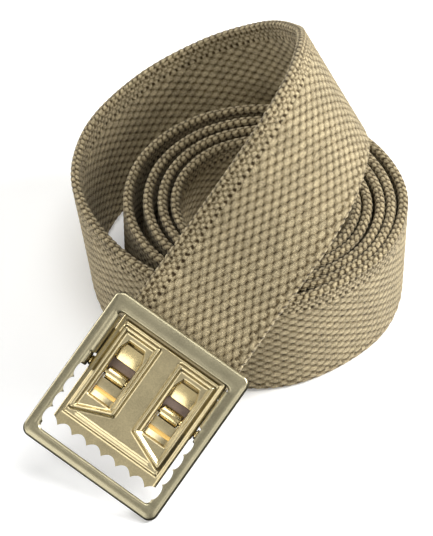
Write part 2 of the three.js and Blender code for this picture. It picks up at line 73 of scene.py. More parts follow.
def remap(tree, value, fromLow, fromHigh, toLow=0.0, toHigh=1.0, smooth=True):
    ends = {0: value, 1: fromLow, 2: fromHigh, 3: toLow, 4: toHigh}
    kind = "SMOOTHSTEP" if smooth else "LINEAR"
    return addNode(tree, "ShaderNodeMapRange", ends, interpolation_type=kind).outputs[0]


def blendValues(tree, share, low, high):
    return calc(tree, "MULTIPLY_ADD", share, calc(tree, "SUBTRACT", high, low), low)


def addObject(name, data):
    made = bpy.data.objects.new(name, data)
    bpy.context.scene.collection.objects.link(made)
    return made


def newMaterial(name, values):
    material = bpy.data.materials.new(name)
    material.use_nodes = True
    shader = material.node_tree.nodes["Principled BSDF"]
    for place, value in values.items():
        shader.inputs[place].default_value = value
    return material, material.node_tree, shader


# Camera

camera = {
    "tilt": 44.65,  # degrees above the floor
    "distance": 681.9,  # all lengths in mm
    "right": -11.6,  # picture's middle from the coil's middle
    "up": 5.02,
    "pixelsPerMm": 3.717,
    "pictureHeight": 536,
}


def addCamera(coilMiddle):
    tilt = math.radians(camera["tilt"])
    back = Vector((0, -math.cos(tilt), math.sin(tilt)))
    up = Vector((0, math.sin(tilt), math.cos(tilt)))
    place = coilMiddle + back * camera["distance"] + up * camera["up"] + Vector((camera["right"], 0, 0))
    data = bpy.data.cameras.new("camera")
    data.sensor_width = 36
    data.lens = data.sensor_width * camera["pixelsPerMm"] * camera["distance"] / camera["pictureHeight"]
    data.clip_end = 10
    data.clip_start = 0.01
    eye = addObject("camera", data)
    eye.location = place * mm
    eye.rotation_euler = (math.pi / 2 - tilt, 0, 0)
    bpy.context.scene.camera = eye


# Strap route, as in the part's source

strap = {
    "width": 32.0,
    "thickness": 2.5,
    "length": 1118.0,
    "coilRadius": 37.1,
    "crest": 58.3,
    "leadHeading": 226.0,
    "leadFall": 33.6,
    "leadRoll": 66.5,
    "leadLength": 14.4,
    "held": 8.5,  # inside the buckle
    "pick": 2.0,  # distance between two cross yarns
    "yarns": 26,  # long yarns across the flat face
    "columnsPerYarn": 3,
    "edgeColumns": 8,
    "edgeRound": 1.0,
    "ringsPerPick": 4,
    "relief": 0.5,
    "domePower": 2.4,  # 2 gives oval bumps, more gives square ones
    "holeRow": 10,  # yarns from the middle to the row of pinholes along the upper edge
    "pieceStart": 112,  # degrees: where the coil is cut into pieces, once a turn
    "leadLeast": 150,
    "pieceLeast": 60,
}

firstTurn = (1, 1.005, 0.935, 0.87)
turnGaps = (
    (1.28, 1.94, 2.08, 1.2),
    (1.14, 1.48, 1.52, 1.24),
    (1.34, 1.6, 1.36, 1.2),
    (1.14, 1.3, 1.2, 1.16),
)
# x and y in shares of the coil's radius, rise and fall in shares of their heights, roll in degrees
loopRows = (
    (0.137, -0.577, 1, 0.21, 57),
    (0.375, -0.159, 1, 0, 47),
    (0.485, 0.329, 0.96, 0, 37),
    (0.453, 0.903, 0.71, 0, 23),
    (0.175, 1.305, 0.43, 0, 0),
    (-0.261, 1.418, 0.2, 0, -19),
    (-0.774, 1.213, 0.05, 0, -20),
    (-1.164, 0.717, 0.01, 0, -13),
    (-1.237, 0.092, 0.008, 0, -7),
    (-0.938, -0.542, 0.003, 0, 0),
    (-0.353, -0.933, 0, 0, 0),
    (0.237, -0.945, 0, 0, 0),
    (0.795, -0.545, 0, 0, 0),
)
loopEnd = (-0.51, -1.215)


def smoothRow(rows, place):
    i = min(max(int(math.floor(place)), 1), len(rows) - 3)
    f = place - i
    a, b, c, d = rows[i - 1:i + 3]
    square, cube = a * 2 - b * 5 + c * 4 - d, b * 3 - a - c * 3 + d
    return (b * 2 + (c - a) * f + square * f * f + cube * f ** 3) * 0.5


def quarterRadii(count):
    radii = []
    for i in range(count):
        turn, quarter = divmod(i, 4)
        if turn == 0:
            radii.append(strap["coilRadius"] * firstTurn[quarter])
        else:
            gaps = turnGaps[min(turn - 1, len(turnGaps) - 1)]
            radii.append(radii[i - 4] - strap["thickness"] * gaps[quarter])
    return radii


def leadDirection():
    heading, fall = math.radians(strap["leadHeading"]), math.radians(strap["leadFall"])
    return Vector((math.cos(heading) * math.cos(fall), math.sin(heading) * math.cos(fall), -math.sin(fall)))


def strapAxes(along, rollDegrees):
    roll = math.radians(rollDegrees)
    up = (Vector((0, 0, 1)) - along * along.z).normalized()
    across = up * math.cos(roll) + along.cross(up) * math.sin(roll)
    return across, across.cross(along)


def frameWidth():
    return strap["width"] + 2 * (buckle["sideGap"] + buckle["sideBar"])


def webMiddle():
    return plateTop() - plate["sheet"] - buckle["fit"] - strap["thickness"] / 2


def plateTop():
    return -buckle["depth"] - buckle["fit"]


def pinDepth():
    return webMiddle() - strap["thickness"] / 2 + buckle["fit"] + buckle["knuckleWall"] / 2


def leadEndHeight():
    across, out = strapAxes(leadDirection(), strap["leadRoll"])
    xRise, yRise = across.z, leadDirection().z
    radius = buckle["corner"]
    corner = abs(xRise) * (frameWidth() / 2 - radius) + abs(yRise) * (buckle["height"] / 2 - radius)
    corner += radius * math.hypot(xRise, yRise) + buckle["depth"] * out.z
    return corner - yRise * buckle["height"] / 2 + webMiddle() * out.z


def strapRows():
    radius, standing = strap["coilRadius"], strap["width"] / 2
    end = Vector((loopEnd[0] * radius, loopEnd[1] * radius, leadEndHeight()))
    rows = []
    for back in (-2 * strap["held"], -strap["held"], 0, strap["leadLength"] / 2, strap["leadLength"]):
        rows.append(Vector((*(end - leadDirection() * back), strap["leadRoll"])))
    for x, y, rise, fall, roll in loopRows:
        height = standing + rise * (strap["crest"] - standing) - fall * (strap["crest"] - end.z)
        rows.append(Vector((x * radius, y * radius, height, roll)))
    quarters = math.ceil(strap["length"] / radius)
    radii = [radius] + quarterRadii(quarters)
    for i in range((quarters - 2) * 3):
        turned = smoothRow(radii, i / 3 + 1)
        angle = i / 3 * math.pi / 2
        rows.append(Vector((turned * math.cos(angle), turned * math.sin(angle), standing, 0)))
    return rows


def walkRoute(rows, step, steps):
    sections = []
    walked, fine = 0.0, 100
    before = smoothRow(rows, 1).to_3d()
    for i in range((len(rows) - 3) * fine):
        place = 1 + i / fine
        row = smoothRow(rows, place)
        point = row.to_3d()
        stride = (point - before).length
        while walked + stride >= len(sections) * step - 1e-9 and len(sections) <= steps:
            share = (len(sections) * step - walked) / stride if stride else 0
            along = smoothRow(rows, place - 1 / fine) - smoothRow(rows, place + 1 / fine)
            sections.append((before.lerp(point, share), *strapAxes(along.to_3d().normalized(), row.w)))
        walked += stride
        before = point
    return sections


def addMesh(name, points, faces=(), edges=()):
    mesh = bpy.data.meshes.new(name)
    mesh.from_pydata(points, edges, faces)
    return addObject(name, mesh)


def vectorAttribute(made, name, values):
    field = made.data.attributes.new(name, "FLOAT_VECTOR", "POINT")
    field.data.foreach_set("vector", [c for value in values for c in value])


def sectionOutline():
    flat = strap["width"] / 2 - strap["edgeRound"]
    half = strap["thickness"] / 2
    columns = strap["yarns"] * strap["columnsPerYarn"]
    points, outs = [], []
    for side in (1, -1):
        for i in range(columns):
            points.append((side * (2 * i / columns - 1) * flat, -side * half, 0))
            outs.append((0, -side, 0))
        for i in range(strap["edgeColumns"]):
            turn = math.pi * i / strap["edgeColumns"]
            reach = flat + strap["edgeRound"] * math.sin(turn)
            points.append((side * reach, -side * half * math.cos(turn), 0))
            outs.append((side * math.sin(turn), -side * math.cos(turn), math.sin(turn)))
    return points, outs


def yarnPitch():
    return 2 * (strap["width"] / 2 - strap["edgeRound"]) / strap["yarns"]


def nearestRow(tree, value, period, shift):
    moved = calc(tree, "ADD", calc(tree, "DIVIDE", value, period), 0.5 - shift)
    return calc(tree, "MULTIPLY", calc(tree, "SUBTRACT", calc(tree, "FRACT", moved), 0.5), period)


def yarnDome(tree, along, across, length, width, pitchAlong, pitchAcross, shift):
    # height of the nearest bump in a lattice of oval bumps, 1 on its crown and 0 outside it
    s = calc(tree, "DIVIDE", nearestRow(tree, along, pitchAlong, shift[0]), length)
    a = calc(tree, "DIVIDE", nearestRow(tree, across, pitchAcross, shift[1]), width)
    s, a = (calc(tree, "POWER", calc(tree, "ABSOLUTE", value), strap["domePower"]) for value in (s, a))
    left = calc(tree, "SUBTRACT", 1.0, calc(tree, "ADD", s, a))
    return calc(tree, "SQRT", calc(tree, "MAXIMUM", left, 0.0))


def domeLattice(tree, along, across, length, width, pitchAlong, pitchAcross, shifts=((0, 0), (0.5, 0.5))):
    rows = [yarnDome(tree, along, across, length, width, pitchAlong, pitchAcross, shift) for shift in shifts]
    return calc(tree, "MAXIMUM", *rows)


weave = {
    # lengths in picks, widths in yarns
    "domeLength": 0.88,
    "domeWidth": 0.96,
    "ribLength": 0.52,
    "ribWidth": 0.72,
    "holeLength": 0.26,
    "holeWidth": 0.42,
    "fromEdges": 0.6,  # hole rows beside the selvages, from the upper and the lower edge
    "edgeSlant": 0.45,
    "edgeLength": 0.47,
    "edgeWidth": 0.31,  # share of the strap's thickness
    "level": 0.85,  # height that lies on the plain strap's face
}


def weaveHeight(tree, along, across, side, unit):
    # works in the geometry tree and in the material: two staggered lattices, hole rows and a ribbed selvage
    pick, yarn = strap["pick"] * unit, yarnPitch() * unit
    back = calc(tree, "MULTIPLY_ADD", side, 0.5, 0.5)  # the back face has its bumps between the front's
    moved = calc(tree, "MULTIPLY_ADD", back, pick, along)
    body = domeLattice(
        tree, moved, across, weave["domeLength"] * pick, weave["domeWidth"] * yarn, 2 * pick, 2 * yarn)
    ribs = domeLattice(
        tree, along, across, weave["ribLength"] * pick, weave["ribWidth"] * yarn, pick, 2 * yarn)
    fromHoles = calc(tree, "DIVIDE", calc(tree, "SUBTRACT", across, strap["holeRow"] * yarn), yarn)
    face = blendValues(tree, remap(tree, fromHoles, -0.6, -0.2), body, ribs)
    half, inset = strap["yarns"] / 2, weave["fromEdges"]
    # place across, depth and shift along of each row of holes
    holeRows = ((0.0, 0.55, 0.5), (half - inset - strap["holeRow"], 0.6, 0.0),
                (2 * inset - half - strap["holeRow"], 0.4, 0.5))
    for row, depth, place in holeRows:
        off = calc(tree, "DIVIDE", calc(tree, "SUBTRACT", fromHoles, row), weave["holeWidth"])
        gap = calc(tree, "DIVIDE", nearestRow(tree, along, pick, place), weave["holeLength"] * pick)
        near = calc(tree, "ADD", calc(tree, "MULTIPLY", off, off), calc(tree, "MULTIPLY", gap, gap))
        face = calc(tree, "SUBTRACT", face, remap(tree, near, 0.2, 1.3, depth, 0.0))
        face = calc(tree, "MAXIMUM", face, 0.0)
    return face


def edgeHeight(tree, along, depth, unit):
    # the strap's narrow edge: two rows of slanted bumps, like a cord
    pick, thickness = strap["pick"] * unit, strap["thickness"] * unit
    moved = calc(tree, "MULTIPLY_ADD", depth, weave["edgeSlant"], along)
    return domeLattice(
        tree, moved, depth, weave["edgeLength"] * pick, weave["edgeWidth"] * thickness,
        pick, thickness, ((0, 0.25), (0.5, 0.75)))


def namedVector(tree, name):
    return addNode(tree, "GeometryNodeInputNamedAttribute", {"Name": name},
                   data_type="FLOAT_VECTOR").outputs["Attribute"]


def vectorAt(tree, geometry, value, index):
    return addNode(tree, "GeometryNodeSampleIndex", {"Geometry": geometry, "Value": value, "Index": index},
                   data_type="FLOAT_VECTOR").outputs[0]


def weaveTree():
    tree = bpy.data.node_groups.new("wovenStrap", "GeometryNodeTree")
    sockets = {}
    for name, kind in (
        ("Route", "Geometry"), ("Section", "Object"), ("Start", "Float"), ("Ring Step", "Float"),
        ("Rings", "Int"), ("Columns", "Int"), ("Canvas", "Material"),
    ):
        made = tree.interface.new_socket(name=name, in_out="INPUT", socket_type="NodeSocket" + kind)
        sockets[name] = made.identifier
    tree.interface.new_socket(name="Strap", in_out="OUTPUT", socket_type="NodeSocketGeometry")
    given = addNode(tree, "NodeGroupInput").outputs
    result = addNode(tree, "NodeGroupOutput")

    index = addNode(tree, "GeometryNodeInputIndex").outputs[0]
    ring = calc(tree, "FLOOR", calc(tree, "DIVIDE", calc(tree, "ADD", index, 0.5), given["Columns"]))
    column = calc(tree, "SUBTRACT", index, calc(tree, "MULTIPLY", ring, given["Columns"]))
    along = calc(tree, "MULTIPLY_ADD", ring, given["Ring Step"], given["Start"])

    curve = addNode(tree, "GeometryNodeMeshToCurve", {"Mesh": given["Route"]}).outputs[0]
    sampled = {}
    for name in ("across", "outward"):
        sampled[name] = addNode(
            tree, "GeometryNodeSampleCurve",
            {"Curves": curve, "Value": namedVector(tree, name), "Length": along},
            data_type="FLOAT_VECTOR", mode="LENGTH", use_all_curves=True)
    centre = sampled["across"].outputs["Position"]

    section = addNode(tree, "GeometryNodeObjectInfo", {"Object": given["Section"]}).outputs["Geometry"]
    spot = addNode(tree, "GeometryNodeInputPosition").outputs[0]
    outline = vectorAt(tree, section, spot, column)
    normal = vectorAt(tree, section, namedVector(tree, "facing"), column)
    a, b, toEnd = splitVector(tree, outline)
    outA, outB, edge = splitVector(tree, normal)

    face = weaveHeight(tree, along, a, calc(tree, "SIGN", outB), mm)
    rope = edgeHeight(tree, along, b, mm)
    height = blendValues(tree, remap(tree, edge, 0.2, 0.75), face, rope)

    lift = calc(tree, "MULTIPLY", calc(tree, "SUBTRACT", height, weave["level"]), strap["relief"] * mm)
    toA = calc(tree, "MULTIPLY_ADD", lift, outA, a)
    toB = calc(tree, "MULTIPLY_ADD", lift, outB, b)
    placed = calcVector(
        tree, "ADD", centre, calcVector(
            tree, "ADD",
            calcVector(tree, "SCALE", sampled["across"].outputs["Value"], toA),
            calcVector(tree, "SCALE", sampled["outward"].outputs["Value"], toB)))

    tube = addNode(tree, "GeometryNodeMeshCylinder", {
        "Vertices": given["Columns"], "Side Segments": given["Rings"]}, fill_type="NGON")
    stored = addNode(
        tree, "GeometryNodeStoreNamedAttribute", {
            "Geometry": tube.outputs["Mesh"], "Name": "webSpot",
            "Value": addNode(tree, "ShaderNodeCombineXYZ", {0: along, 1: a, 2: b}).outputs[0]},
        data_type="FLOAT_VECTOR", domain="POINT")
    shaded = stored.outputs[0]
    for part, smooth in (("Side", True), ("Top", False), ("Bottom", False)):
        shaded = addNode(tree, "GeometryNodeSetShadeSmooth", {
            "Geometry": shaded, "Selection": tube.outputs[part], "Shade Smooth": smooth}).outputs[0]
    moved = addNode(tree, "GeometryNodeSetPosition", {"Geometry": shaded, "Position": placed})
    real = addNode(tree, "GeometryNodeRealizeInstances", {"Geometry": moved.outputs[0]})
    dressed = addNode(
        tree, "GeometryNodeSetMaterial", {"Geometry": real.outputs[0], "Material": given["Canvas"]})
    tree.links.new(dressed.outputs[0], result.inputs[0])
    return tree, sockets


def bakeModifiers(made):
    bpy.context.view_layer.update()
    seen = made.evaluated_get(bpy.context.evaluated_depsgraph_get())
    mesh = bpy.data.meshes.new_from_object(seen)
    made.modifiers.clear()
    mesh.name = made.name
    made.data = mesh


def strapBreaks(sections):
    # the strap is cut where the lead hides the coil, once a turn, on a whole repeat of the weave
    repeat = 2 * strap["pick"]
    breaks, before = [0.0], None
    for i, (point, across, outward) in enumerate(sections):
        angle = math.degrees(math.atan2(point.y, point.x)) + strap["pieceStart"]
        if before is not None and before < 0 <= angle < 90 and i > strap["leadLeast"]:
            breaks.append(round(i / repeat) * repeat)
        before = angle
    if strap["length"] - breaks[-1] < strap["pieceLeast"]:
        breaks.pop()
    return breaks + [strap["length"]]


def addStrap(shift, cloth):
    sections = walkRoute(strapRows(), 1.0, int(strap["length"]))
    route = addMesh(
        "route", [(point + shift) * mm for point, across, outward in sections],
        edges=[(i, i + 1) for i in range(len(sections) - 1)])
    vectorAttribute(route, "across", [across for point, across, outward in sections])
    vectorAttribute(route, "outward", [outward for point, across, outward in sections])
    points, outs = sectionOutline()
    section = addMesh("section", [Vector(p) * mm for p in points])
    vectorAttribute(section, "facing", outs)
    tree, sockets = weaveTree()
    breaks = strapBreaks(sections)
    names = ["strapLead"] + [f"strapTurn{i}" for i in range(1, len(breaks) - 1)]
    pieces = []
    for name, start, stop in zip(names, breaks, breaks[1:]):
        rings = round((stop - start) * strap["ringsPerPick"] / strap["pick"])
        piece = addMesh(name, [])
        piece.data = route.data.copy()
        woven = piece.modifiers.new("weave", "NODES")
        woven.node_group = tree
        values = {
            "Section": section, "Start": start * mm, "Ring Step": (stop - start) / rings * mm,
            "Rings": rings, "Columns": len(points), "Canvas": cloth,
        }
        for label, value in values.items():
            woven[sockets[label]] = value
        bakeModifiers(piece)
        pieces.append(piece)
        print("strap piece", name, start, stop, len(piece.data.polygons), "faces")
    for helper in (route, section):
        bpy.data.objects.remove(helper)
    return pieces


canvas = {
    # painted shade: colours from the gaps between the yarns up to their crowns, darkening to near black down
    # in the gaps and pinholes
    "paintedShade": (
        (0.0, (0.035, 0.02, 0.006, 1)),
        (0.4, (0.105, 0.075, 0.034, 1)),
        (0.8, (0.235, 0.188, 0.105, 1)),
        (1.0, (0.4, 0.33, 0.2, 1)),
    ),
    "surface": {"Roughness": 0.9, "Specular IOR Level": 0.25, "Sheen Weight": 0.08, "Sheen Roughness": 0.5},
    "wobble": 1.5,  # mm
    "wobbleScale": 0.9,  # of the noises, per mm
    "speckleScale": 2.4,
    "cloudScale": 0.12,
    "fibreScale": 2.2,
    "speckleTone": (-0.42, 0.5),
    "cloudTone": (0.93, 1.06),
    "bump": {"Strength": 0.7, "Distance": 0.00022},
    "unevenTone": 0.2,
    "plyWidth": 0.42,
    "plyLength": 1.3,
    # painted shade along the grooves between the plied strands, following the ply relief
    "plyPaintedShade": 0.07,
    "plyRelief": 0.3,
    "domeRelief": 1.6,
}


def noise(tree, place, scale, detail):
    return addNode(tree, "ShaderNodeTexNoise", {"Vector": place, "Scale": scale, "Detail": detail}).outputs


def canvasMaterial():
    material, tree, shader = newMaterial("khakiCanvas", canvas["surface"])
    spot = addNode(tree, "ShaderNodeAttribute", attribute_name="webSpot").outputs["Vector"]
    millimetres = calcVector(tree, "SCALE", spot, 1000.0)
    along, across, depth = splitVector(tree, millimetres)
    wobble = noise(tree, millimetres, canvas["wobbleScale"], 4.0)["Color"]
    unsteady = calcVector(
        tree, "SCALE", calcVector(tree, "SUBTRACT", wobble, (0.5, 0.5, 0.5)), canvas["wobble"])
    shiftAlong, shiftAcross, shiftDeep = splitVector(tree, unsteady)
    side, movedAlong = calc(tree, "SIGN", depth), calc(tree, "ADD", along, shiftAlong)
    height = weaveHeight(tree, movedAlong, calc(tree, "MULTIPLY_ADD", shiftAcross, 0.5, across), side, 1)
    onEdge = remap(tree, calc(tree, "ABSOLUTE", across), strap["width"] / 2 - strap["edgeRound"],
                   strap["width"] / 2 - 0.4 * strap["edgeRound"])
    rope = edgeHeight(tree, movedAlong, depth, 1)
    height = blendValues(tree, onEdge, height, rope)
    speckle = noise(tree, millimetres, canvas["speckleScale"], 5.0)[0]
    cloudy = noise(tree, millimetres, canvas["cloudScale"], 3.0)[0]
    # painted shade: the weave's height picks the colour, darker down in the gaps and pinholes between the
    # yarns
    shade = addNode(tree, "ShaderNodeValToRGB", {0: height})
    stops = shade.color_ramp.elements
    stops[0].color, stops[1].color = canvas["paintedShade"][0][1], canvas["paintedShade"][-1][1]
    for place, colour in canvas["paintedShade"][1:-1]:
        stops.new(place).color = colour
    cell = addNode(tree, "ShaderNodeCombineXYZ", {
        0: calc(tree, "ROUND", calc(tree, "DIVIDE", along, strap["pick"])),
        1: calc(tree, "ROUND", calc(tree, "DIVIDE", across, yarnPitch())), 2: side}).outputs[0]
    uneven = addNode(tree, "ShaderNodeTexWhiteNoise", {"Vector": cell}, noise_dimensions="3D").outputs[0]
    plyAcross = calc(tree, "MULTIPLY", across, 2 * math.pi / canvas["plyWidth"])
    plyAlong = calc(tree, "MULTIPLY", along, 2 * math.pi / canvas["plyLength"])
    ply = calc(tree, "SINE", calc(tree, "ADD", plyAcross, plyAlong))
    value = calc(tree, "ADD", remap(tree, speckle, 0.3, 0.7, *canvas["speckleTone"], False),
                 remap(tree, cloudy, 0.3, 0.7, *canvas["cloudTone"]))
    value = calc(
        tree, "MULTIPLY_ADD", calc(tree, "SUBTRACT", uneven, 0.5), canvas["unevenTone"], value)
    # painted shade: darker where the ply's twist relief is low
    value = calc(tree, "MULTIPLY_ADD", ply, canvas["plyPaintedShade"], value)
    tone = addNode(tree, "ShaderNodeHueSaturation", {"Color": shade.outputs[0], "Value": value})
    tree.links.new(tone.outputs[0], shader.inputs["Base Color"])
    stretched = calcVector(tree, "MULTIPLY", millimetres, (1.0, 3.0, 3.0))
    fibre = noise(tree, stretched, canvas["fibreScale"], 4.0)[0]
    relief = calc(tree, "ADD", calc(tree, "MULTIPLY_ADD", ply, canvas["plyRelief"], fibre),
                  calc(tree, "MULTIPLY", height, canvas["domeRelief"]))
    bump = addNode(tree, "ShaderNodeBump", {**canvas["bump"], "Height": relief})
    tree.links.new(bump.outputs[0], shader.inputs["Normal"])
    return material


brasses = {
    # colour, roughness and strength of the fine grain
    "frameBrass": ((0.43, 0.385, 0.25), 0.32, 0.6),
    "plateBrass": ((0.64, 0.54, 0.315), 0.28, 0.05),
    "pinBrass": ((0.84, 0.68, 0.35), 0.2, 0.08),
    # mauve-brown and dull: painted shade for the jaw's sheet deep in the windows
    "heelBrass": ((0.58, 0.46, 0.4), 0.5, 0.3),
    # orange-gold: a painted reflection in each shelf's groove
    "grooveBrass": ((0.66, 0.42, 0.13), 0.3, 0.05),
}


def brassWear():
    group = bpy.data.node_groups.new("brassWear", "ShaderNodeTree")
    inputs = {"Speckle Size": 0.0004, "Patch Size": 0.006, "Roughness": 0.3, "Spread": 0.08}
    for name, usual in inputs.items():
        made = group.interface.new_socket(name=name, in_out="INPUT", socket_type="NodeSocketFloat")
        made.default_value = usual
    for name in ("Shade", "Roughness", "Grain"):
        group.interface.new_socket(name=name, in_out="OUTPUT", socket_type="NodeSocketFloat")
    given = addNode(group, "NodeGroupInput").outputs
    result = addNode(group, "NodeGroupOutput").inputs
    place = addNode(group, "ShaderNodeTexCoord").outputs["Object"]
    speckle, patches = (noise(group, place, calc(group, "DIVIDE", 1.0, given[size]), detail)[0]
                        for size, detail in (("Speckle Size", 3.0), ("Patch Size", 5.0)))
    shade = calc(group, "ADD", remap(group, speckle, 0.3, 0.7, -0.08, 0.08),
                 remap(group, patches, 0.3, 0.7, 0.92, 1.06))
    uneven = calc(group, "ADD", calc(group, "SUBTRACT", patches, 0.5), speckle)
    spread = calc(group, "MULTIPLY", given["Spread"], uneven)
    group.links.new(shade, result["Shade"])
    group.links.new(calc(group, "ADD", given["Roughness"], spread), result["Roughness"])
    group.links.new(speckle, result["Grain"])
    return group


def brassMaterial(name, wear):
    colour, roughness, grain = brasses[name]
    material, tree, shader = newMaterial(name, {"Metallic": 1.0})
    worn = addNode(tree, "ShaderNodeGroup")
    worn.node_tree = wear
    worn.inputs["Roughness"].default_value = roughness
    tint = addNode(tree, "ShaderNodeHueSaturation", {
        "Color": (*colour, 1), "Value": worn.outputs["Shade"]})
    tree.links.new(tint.outputs[0], shader.inputs["Base Color"])
    tree.links.new(worn.outputs["Roughness"], shader.inputs["Roughness"])
    bump = addNode(tree, "ShaderNodeBump", {
        "Strength": grain, "Distance": 0.00003, "Height": worn.outputs["Grain"]})
    tree.links.new(bump.outputs[0], shader.inputs["Normal"])
    return material


# Buckle: all its points are in mm from the middle of the frame's face, x across, y towards the strap

buckle = {
    "height": 43.0,
    "topBar": 4.6,
    "lowerBar": 3.4,
    "sideBar": 3.5,
    "sideGap": 0.65,
    "corner": 2.4,
    "openingCorner": 1.2,
    "depth": 1.8,
    "sheet": 0.7,
    "outerRound": 0.9,
    "crown": 0.16,  # rise of each bar's middle
    "sideRoll": 1.2,  # width of the rounded inner edge, at the sides
    "endRoll": 0.6,
    "rollDrop": 0.6,
    "rollInset": 0.2,
    "edgeSheet": 0.455,  # the sheet is thinner along the inner edge
    "fit": 0.3,
    "pinUp": 2.8,  # pin above the frame's middle
    "pinRadius": 0.8,
    "knobRadius": 1.3,
    "knuckleWall": 0.7,
    "earRadius": 2.0,
    "earThickness": 0.7,
    "notchDepth": 0.9,
    "notchPitch": 4.5,
    "notchBelowPin": 3.5,
    "notches": 4,
    "wingDepth": 2.4,  # the side bars' inner edges turned down beside the plate, above the pin
    "wingUp": 1.9,
    "wallLow": -5.4,  # the thin walls under them
    "wallThickness": 0.6,
    "wallStart": 0.1,
    "wallLap": 0.2,
    "wallGap": 0.05,
    "earDown": 0.3,  # tops of the ears, below the face
    "bendInset": 0.3,
    "headThickness": 0.6,
}


def openingHalf():
    return strap["width"] / 2 + buckle["sideGap"]


def strapEnd():
    return buckle["height"] / 2 - strap["held"] - buckle["fit"]


def plateHalf():
    return openingHalf() - plate["sideGap"]


def openingLow():
    return buckle["lowerBar"] - buckle["height"] / 2


def openingTop():
    return buckle["height"] / 2 - buckle["topBar"]


def plateLow():
    return openingLow() + plate["teethGap"]


def plateHigh():
    return openingTop() + plate["tuck"]


def addPiece(name, parts, place, material, bevel, sharp):
    points, faces = [], []
    for partPoints, partFaces in parts:
        faces += [[i + len(points) for i in face] for face in partFaces]
        points += [place @ Vector(point) * mm for point in partPoints]
    made = addMesh(name, points, faces)
    made.data.materials.append(material)
    if bevel:
        rounded = made.modifiers.new("rounded", "BEVEL")
        rounded.width = bevel * mm
        rounded.segments = 3
        rounded.limit_method = "ANGLE"
        rounded.angle_limit = math.radians(30)
        bakeModifiers(made)
    made.data.shade_smooth()
    made.data.set_sharp_from_angle(angle=math.radians(sharp))
    return made


def boxOutline(near, far, low, high):
    return [(near, low), (far, low), (far, high), (near, high)]


def skinRows(rows, closed):
    # each row is joined to the next one, and the last to the first where closed
    count, faces = len(rows[0]), []
    for r in range(len(rows) if closed else len(rows) - 1):
        start, after = r * count, (r + 1) % len(rows) * count
        for i in range(count):
            j = (i + 1) % count
            faces.append([start + i, start + j, after + j, after + i])
    return [point for row in rows for point in row], faces


def cappedRows(rows):
    points, faces = skinRows(rows, False)
    count, last = len(rows[0]), len(points) - len(rows[0])
    return points, faces + [list(range(count))[::-1], [last + i for i in range(count)]]


def crossPrism(outline, low, high):
    # an outline of (y, z) points running anticlockwise as seen from +x
    return cappedRows([[(x, y, z) for y, z in outline] for x in (low, high)])


def onBothSides(outline, low, high):
    return [crossPrism(outline, -high, -low), crossPrism(outline, low, high)]


def crossRing(outer, inner, low, high):
    # a plate with one hole: both outlines have the same count of (y, z) points, anticlockwise from +x
    rows = ((outer, low), (outer, high), (inner, high), (inner, low))
    return skinRows([[(x, y, z) for y, z in outline] for outline, x in rows], True)


def turnedPart(profile, steps=40):
    # (radius, x) points turned about the pin's axis, from the left end to the right
    turns = [2 * math.pi * i / steps for i in range(steps)]
    return cappedRows([[(x, buckle["pinUp"] + radius * math.cos(t), pinDepth() + radius * math.sin(t))
                        for t in turns] for radius, x in profile])


def roundPoints(radius, steps=48):
    turns = [2 * math.pi * (i + 0.5) / steps for i in range(steps)]
    return [(buckle["pinUp"] + radius * math.cos(t), pinDepth() + radius * math.sin(t)) for t in turns]


def earPart(top, low, high, steps=32):
    radius = buckle["earRadius"]
    outer = []
    for y, z in roundPoints(radius, steps):
        if z > pinDepth():
            offY, offZ = y - buckle["pinUp"], z - pinDepth()
            stretch = radius / max(abs(offY), offZ * radius / (top - pinDepth()))
            y, z = buckle["pinUp"] + offY * stretch, pinDepth() + offZ * stretch
        outer.append((y, z))
    hole = buckle["pinRadius"] + buckle["fit"]
    return crossRing(outer, roundPoints(hole, steps), low, high)


def roundedOutline(half, low, high, corner, sideSteps=150, cornerSteps=10):
    # points and outward normals, anticlockwise from the right side's lower end
    middles = ((half - corner, high - corner), (corner - half, high - corner),
               (corner - half, low + corner), (half - corner, low + corner))
    outline = []
    for k in range(4):
        before, after = Vector(middles[k - 1]), Vector(middles[k])
        normal = Vector((round(math.cos(k * math.pi / 2)), round(math.sin(k * math.pi / 2))))
        for i in range(sideSteps):
            outline.append((before.lerp(after, i / sideSteps) + normal * corner, normal))
        for i in range(cornerSteps):
            turn = (k + i / cornerSteps) * math.pi / 2
            normal = Vector((math.cos(turn), math.sin(turn)))
            outline.append((after + normal * corner, normal))
    return outline


def notchAt(y):
    half = (buckle["notchPitch"] - buckle["fit"]) / 2
    for i in range(buckle["notches"]):
        off = (y - buckle["pinUp"] + buckle["notchBelowPin"] + i * buckle["notchPitch"]) / half
        if abs(off) < 1:
            return buckle["notchDepth"] * math.sqrt(1 - off * off)
    return 0.0


